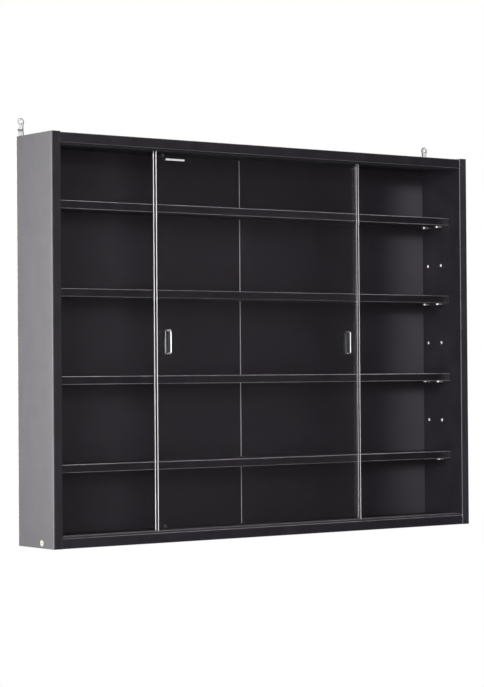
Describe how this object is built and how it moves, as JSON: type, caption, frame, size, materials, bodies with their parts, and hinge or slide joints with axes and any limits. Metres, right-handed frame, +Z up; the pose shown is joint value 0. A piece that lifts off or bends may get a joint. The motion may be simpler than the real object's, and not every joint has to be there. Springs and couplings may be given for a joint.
{
  "type": "wall mounted showcase",
  "caption": "Shallow wall-hung display case with loose shelves on pins behind two sliding glass doors that pass each other.",
  "frame": {"origin": "midway between the two hanger holes, in the plane of the wall", "axes": "+X to the viewer's right, +Y into the wall, +Z up"},
  "size_m": [0.8004, 0.098, 0.6272],
  "materials": {
    "black_board": "particle board in satin black melamine",
    "back_hardboard": "hardboard, black foil in front and raw brown behind",
    "joint_tape": "gummed kraft paper tape",
    "track_plastic": "extruded black plastic, satin",
    "clear_glass": "4 mm clear float glass with ground edges",
    "pull_chrome": "bright chromed metal",
    "pin_nickel": "nickel-plated steel",
    "hanger_steel": "bright zinc-plated sheet steel",
    "fastener_zinc": "zinc-plated steel with a pale yellow tint",
    "dowel_beech": "plain beech",
    "label_film": "plain white film, no lettering",
    "bumper_rubber": "clear soft polyurethane"
  },
  "bodies": {
    "cabinet": {"left_side_panel": "black_board", "right_side_panel": "black_board", "top_panel": "black_board", "bottom_panel": "black_board", "back_board_left": "back_hardboard", "back_board_right": "back_hardboard", "back_joint_tape": "joint_tape", "back_nails": "fastener_zinc", "top_track": "track_plastic", "bottom_track": "track_plastic", "shelf_pins_1": "pin_nickel", "shelf_pins_2": "pin_nickel", "shelf_pins_3": "pin_nickel", "shelf_pins_4": "pin_nickel", "hanger_left": "hanger_steel", "hanger_right": "hanger_steel", "hanger_screws": "fastener_zinc", "case_screws": "fastener_zinc", "dowels": "dowel_beech", "cam_nuts": "fastener_zinc", "cam_bolts": "fastener_zinc"},
    "left_door": {"door_glass_left": "clear_glass", "finger_pull_left": "pull_chrome", "pull_ring_left": "pull_chrome", "door_bumpers": "bumper_rubber", "blank_label": "label_film"},
    "right_door": {"door_glass_right": "clear_glass", "finger_pull_right": "pull_chrome", "pull_ring_right": "pull_chrome"},
    "loose_shelf_1": {"shelf_1": "black_board"},
    "loose_shelf_2": {"shelf_2": "black_board"},
    "loose_shelf_3": {"shelf_3": "black_board"},
    "loose_shelf_4": {"shelf_4": "black_board"}
  },
  "joints": [
    {"name": "left_door_slide", "type": "slide", "parent": "cabinet", "child": "left_door", "axis": [1, 0, 0], "range_m": [-0.1695, 0.2095]},
    {"name": "right_door_slide", "type": "slide", "parent": "cabinet", "child": "right_door", "axis": [1, 0, 0], "range_m": [-0.1695, 0.2095]},
    {"name": "shelf_1_lift", "type": "slide", "parent": "cabinet", "child": "loose_shelf_1", "axis": [0, 0, 1], "range_m": [0, 0.064]},
    {"name": "shelf_2_lift", "type": "slide", "parent": "cabinet", "child": "loose_shelf_2", "axis": [0, 0, 1], "range_m": [0, 0.064]},
    {"name": "shelf_3_lift", "type": "slide", "parent": "cabinet", "child": "loose_shelf_3", "axis": [0, 0, 1], "range_m": [0, 0.064]},
    {"name": "shelf_4_lift", "type": "slide", "parent": "cabinet", "child": "loose_shelf_4", "axis": [0, 0, 1], "range_m": [0, 0.064]}
  ]
}
